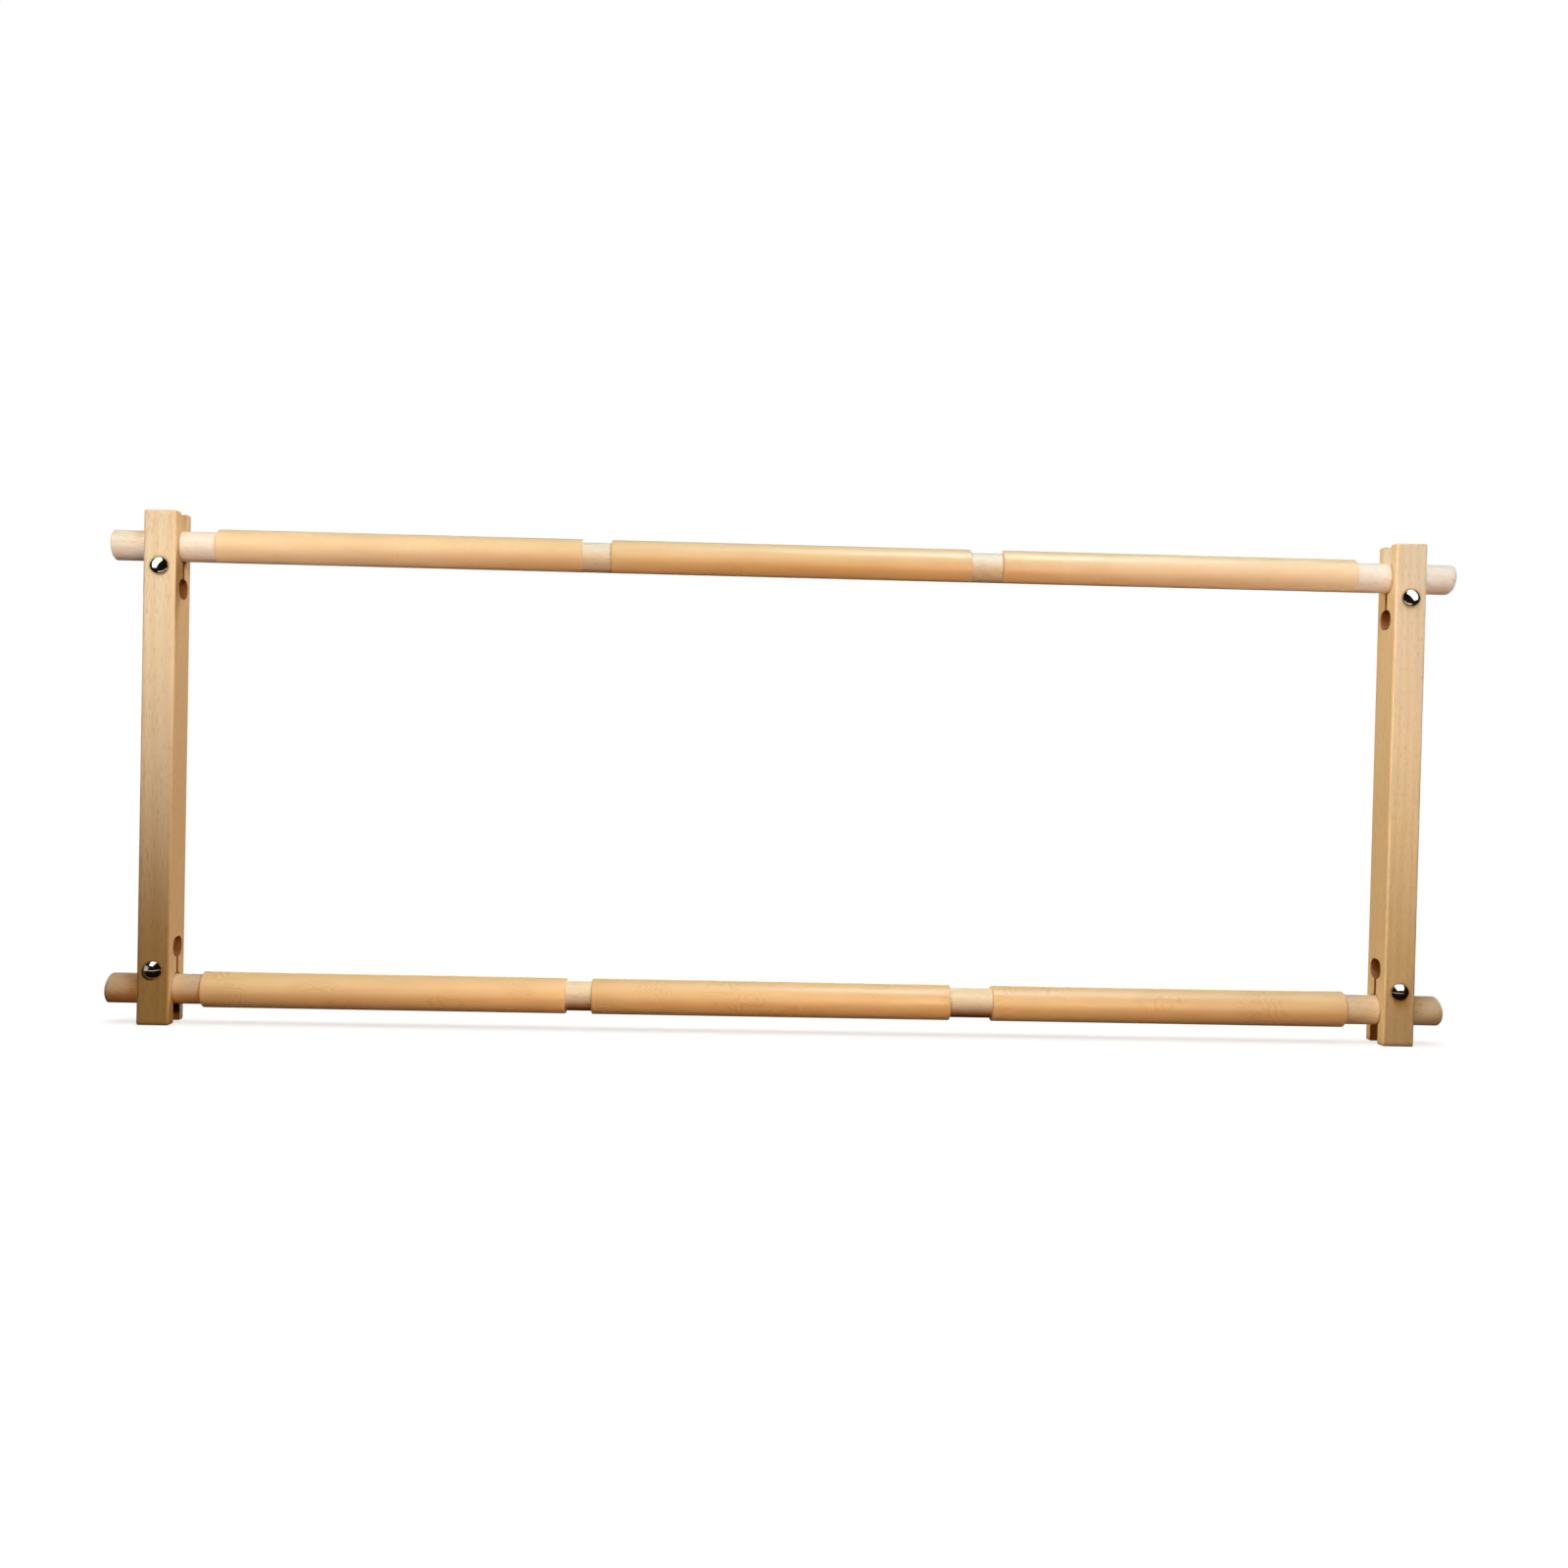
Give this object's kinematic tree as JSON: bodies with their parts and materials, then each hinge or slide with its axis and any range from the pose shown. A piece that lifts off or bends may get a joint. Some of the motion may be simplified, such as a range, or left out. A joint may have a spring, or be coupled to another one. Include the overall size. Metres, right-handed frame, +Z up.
{
  "type": "embroidery frame",
  "caption": "Rotating embroidery frame: wooden side bars clamp dowel rollers in split jaws with bolts and wing nuts, and split plastic sleeves clip the fabric onto the rollers.",
  "frame": {"origin": "centre of the frame's width and depth, on the surface that it stands on", "axes": "+X to the right along the rollers as seen from the front, +Y from the front face with the bolt heads to the back with the wing nuts, +Z up along the side bars"},
  "size_m": [0.811, 0.049, 0.305],
  "materials": {
    "side_bar_wood": "satin",
    "roller_wood": "satin",
    "clip_plastic": "satin",
    "bolt_nickel": "polished",
    "washer_zinc": "satin",
    "wing_nut_zinc": "satin"
  },
  "bodies": {
    "left_arm": {"left_side_bar": "side_bar_wood", "left_top_bolt": "bolt_nickel", "left_bottom_bolt": "bolt_nickel"},
    "right_arm": {"right_side_bar": "side_bar_wood", "right_top_bolt": "bolt_nickel", "right_bottom_bolt": "bolt_nickel"},
    "top_roller": {"top_roller": "roller_wood"},
    "bottom_roller": {"bottom_roller": "roller_wood"},
    "top_left_clip": {"top_left_clip": "clip_plastic"},
    "top_middle_clip": {"top_middle_clip": "clip_plastic"},
    "top_right_clip": {"top_right_clip": "clip_plastic"},
    "bottom_left_clip": {"bottom_left_clip": "clip_plastic"},
    "bottom_middle_clip": {"bottom_middle_clip": "clip_plastic"},
    "bottom_right_clip": {"bottom_right_clip": "clip_plastic"},
    "left_top_washer": {"left_top_washer": "washer_zinc"},
    "left_top_wing_nut": {"left_top_wing_nut": "wing_nut_zinc"},
    "left_bottom_washer": {"left_bottom_washer": "washer_zinc"},
    "left_bottom_wing_nut": {"left_bottom_wing_nut": "wing_nut_zinc"},
    "right_top_washer": {"right_top_washer": "washer_zinc"},
    "right_top_wing_nut": {"right_top_wing_nut": "wing_nut_zinc"},
    "right_bottom_washer": {"right_bottom_washer": "washer_zinc"},
    "right_bottom_wing_nut": {"right_bottom_wing_nut": "wing_nut_zinc"}
  },
  "joints": [
    {"name": "right_arm_slide", "type": "slide", "parent": "left_arm", "child": "right_arm", "axis": [1, 0, 0], "range_m": [-0.012, 0.02]},
    {"name": "top_roller_turn", "type": "hinge", "parent": "left_arm", "child": "top_roller", "pos_m": [0, -0.00545, 0.285], "axis": [1, 0, 0], "continuous": true},
    {"name": "bottom_roller_turn", "type": "hinge", "parent": "left_arm", "child": "bottom_roller", "pos_m": [0, -0.00545, 0.02], "axis": [1, 0, 0], "continuous": true},
    {"name": "top_left_clip_slide", "type": "slide", "parent": "top_roller", "child": "top_left_clip", "axis": [1, 0, 0], "range_m": [-0.006, 0.006]},
    {"name": "top_middle_clip_slide", "type": "slide", "parent": "top_roller", "child": "top_middle_clip", "axis": [1, 0, 0], "range_m": [-0.006, 0.006]},
    {"name": "top_right_clip_slide", "type": "slide", "parent": "top_roller", "child": "top_right_clip", "axis": [1, 0, 0], "range_m": [-0.006, 0.006]},
    {"name": "bottom_left_clip_slide", "type": "slide", "parent": "bottom_roller", "child": "bottom_left_clip", "axis": [1, 0, 0], "range_m": [-0.006, 0.006]},
    {"name": "bottom_middle_clip_slide", "type": "slide", "parent": "bottom_roller", "child": "bottom_middle_clip", "axis": [1, 0, 0], "range_m": [-0.006, 0.006]},
    {"name": "bottom_right_clip_slide", "type": "slide", "parent": "bottom_roller", "child": "bottom_right_clip", "axis": [1, 0, 0], "range_m": [-0.006, 0.006]},
    {"name": "left_top_washer_slide", "type": "slide", "parent": "left_arm", "child": "left_top_washer", "axis": [0, 1, 0], "range_m": [0, 0.004]},
    {"name": "left_top_wing_nut_turn", "type": "hinge", "parent": "left_top_washer", "child": "left_top_wing_nut", "pos_m": [-0.374, 0.0088, 0.272], "axis": [0, 1, 0], "range_deg": [0, 1800]},
    {"name": "left_bottom_washer_slide", "type": "slide", "parent": "left_arm", "child": "left_bottom_washer", "axis": [0, 1, 0], "range_m": [0, 0.004]},
    {"name": "left_bottom_wing_nut_turn", "type": "hinge", "parent": "left_bottom_washer", "child": "left_bottom_wing_nut", "pos_m": [-0.374, 0.0088, 0.033], "axis": [0, 1, 0], "range_deg": [0, 1800]},
    {"name": "right_top_washer_slide", "type": "slide", "parent": "right_arm", "child": "right_top_washer", "axis": [0, 1, 0], "range_m": [0, 0.004]},
    {"name": "right_top_wing_nut_turn", "type": "hinge", "parent": "right_top_washer", "child": "right_top_wing_nut", "pos_m": [0.374, 0.0088, 0.272], "axis": [0, 1, 0], "range_deg": [0, 1800]},
    {"name": "right_bottom_washer_slide", "type": "slide", "parent": "right_arm", "child": "right_bottom_washer", "axis": [0, 1, 0], "range_m": [0, 0.004]},
    {"name": "right_bottom_wing_nut_turn", "type": "hinge", "parent": "right_bottom_washer", "child": "right_bottom_wing_nut", "pos_m": [0.374, 0.0088, 0.033], "axis": [0, 1, 0], "range_deg": [0, 1800]}
  ],
  "couplings": [
    {"joint": "left_top_wing_nut_turn", "follows": "left_top_washer_slide", "rad_per_m": 7854},
    {"joint": "left_bottom_wing_nut_turn", "follows": "left_bottom_washer_slide", "rad_per_m": 7854},
    {"joint": "right_top_wing_nut_turn", "follows": "right_top_washer_slide", "rad_per_m": 7854},
    {"joint": "right_bottom_wing_nut_turn", "follows": "right_bottom_washer_slide", "rad_per_m": 7854}
  ]
}
